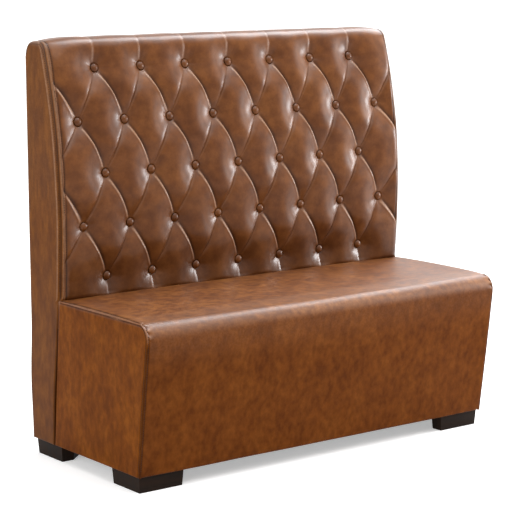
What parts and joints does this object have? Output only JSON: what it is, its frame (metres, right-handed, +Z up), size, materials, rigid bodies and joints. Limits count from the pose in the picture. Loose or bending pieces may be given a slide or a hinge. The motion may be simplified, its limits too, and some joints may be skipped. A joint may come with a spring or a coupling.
{
  "type": "restaurant booth bench",
  "caption": "Single-sided restaurant booth bench: tall diamond-tufted back with covered buttons, plain padded seat box with a raked front, and dark corner feet.",
  "frame": {"origin": "centre of the bench's outline on the floor", "axes": "+X along the width to the sitter's left, +Y to the rear, +Z up"},
  "size_m": [1.219, 0.592, 1.17],
  "materials": {
    "brown_vinyl": "semi-gloss distressed vinyl",
    "espresso_wood": "dark espresso stain, satin",
    "foam": "soft polyurethane foam",
    "black_cloth": "thin nonwoven cloth",
    "twine": "waxed twine",
    "zinc_steel": "zinc plated",
    "hardboard": "smooth hardboard",
    "plywood": "raw plywood"
  },
  "bodies": {
    "root": {"back_bottom_board": "plywood", "back_buttons_row_1": "brown_vinyl", "back_buttons_row_2": "brown_vinyl", "back_buttons_row_3": "brown_vinyl", "back_buttons_row_4": "brown_vinyl", "back_buttons_row_5": "brown_vinyl", "back_end_panel_left": "plywood", "back_end_panel_right": "plywood", "back_foam": "foam", "back_frame_screws": "zinc_steel", "back_front_panel": "plywood", "back_rib_left": "plywood", "back_rib_right": "plywood", "back_seat_rail": "plywood", "back_side_cover_left": "brown_vinyl", "back_side_cover_right": "brown_vinyl", "back_side_padding_left": "foam", "back_side_padding_right": "foam", "back_top_rail": "plywood", "back_tufted_cover": "brown_vinyl", "button_twines": "twine", "button_washers": "zinc_steel", "corner_block_left": "plywood", "corner_block_right": "plywood", "deck_screws": "zinc_steel", "dust_cover": "black_cloth", "foot_front_left": "espresso_wood", "foot_front_right": "espresso_wood", "foot_rear_left": "espresso_wood", "foot_rear_right": "espresso_wood", "foot_screws": "zinc_steel", "joining_bolts": "zinc_steel", "joining_tee_nuts": "zinc_steel", "joining_washers": "zinc_steel", "outside_back_board": "hardboard", "outside_back_cover": "brown_vinyl", "outside_back_screws": "zinc_steel", "seat_cover": "brown_vinyl", "seat_deck": "plywood", "seat_foam": "foam", "seat_frame_screws": "zinc_steel", "seat_front_board": "plywood", "seat_front_padding": "foam", "seat_rear_board": "plywood", "seat_rib_left": "plywood", "seat_rib_right": "plywood", "seat_side_board_left": "plywood", "seat_side_board_right": "plywood", "seat_side_cover_left": "brown_vinyl", "seat_side_cover_right": "brown_vinyl", "seat_side_padding_left": "foam", "seat_side_padding_right": "foam"}
  },
  "joints": []
}
